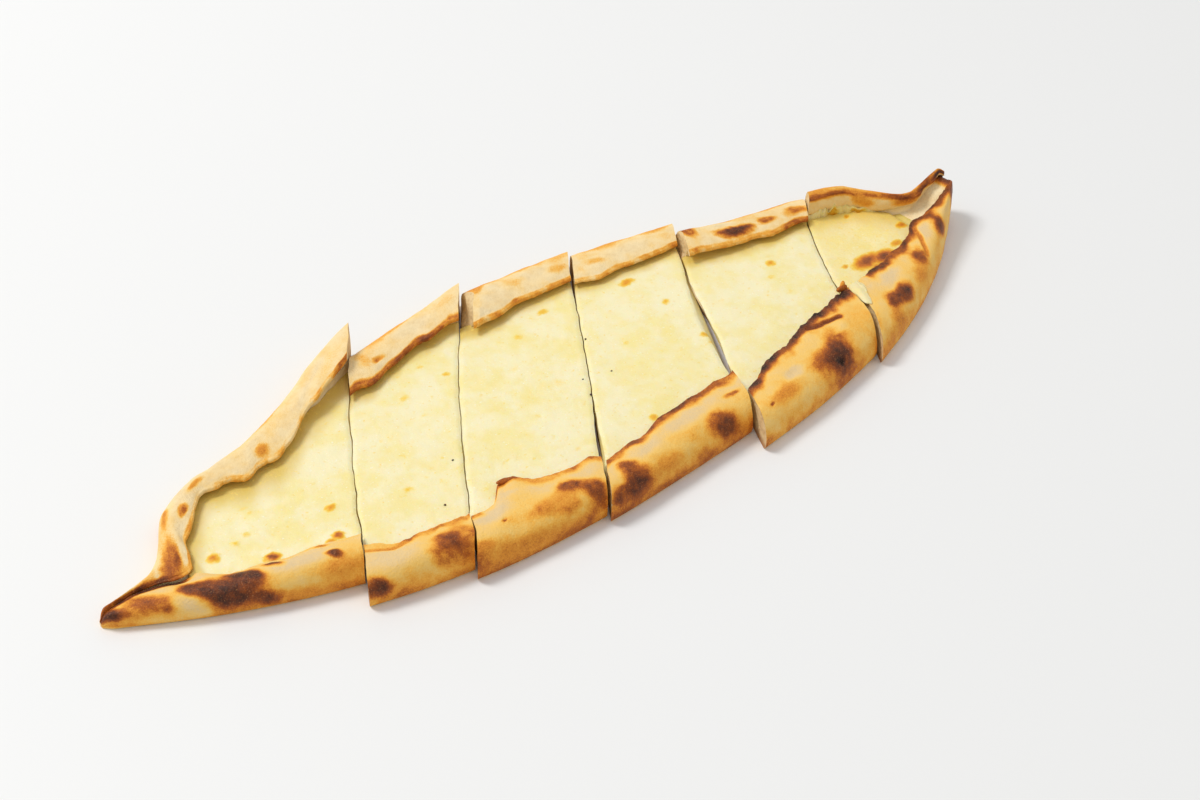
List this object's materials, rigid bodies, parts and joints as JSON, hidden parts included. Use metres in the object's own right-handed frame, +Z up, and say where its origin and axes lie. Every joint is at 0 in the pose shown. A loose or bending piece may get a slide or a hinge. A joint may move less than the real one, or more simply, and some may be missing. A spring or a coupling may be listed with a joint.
{
  "type": "cheese pide",
  "caption": "Boat-shaped flatbread with browned edges folded over melted cheese, cut on the skew into slices that have slid a little along their cuts.",
  "frame": {"origin": "centre of the bread's outline, on the surface it lies on", "axes": "+X from the low left tip to the raised right tip, +Y towards the far long edge, +Z up"},
  "size_m": [0.4934, 0.1736, 0.026],
  "materials": {
    "crust": "baked wheat dough, golden with pale floury and dark browned patches, dull with a slight oily sheen",
    "cheese": "melted pale yellow cheese, smooth and slightly oily, with small golden spots"
  },
  "bodies": {
    "root": {"dough_1": "crust", "dough_2": "crust", "dough_3": "crust", "dough_4": "crust", "dough_5": "crust", "dough_6": "crust", "cheese_1": "cheese", "cheese_2": "cheese", "cheese_3": "cheese", "cheese_4": "cheese", "cheese_5": "cheese", "cheese_6": "cheese"}
  },
  "joints": []
}
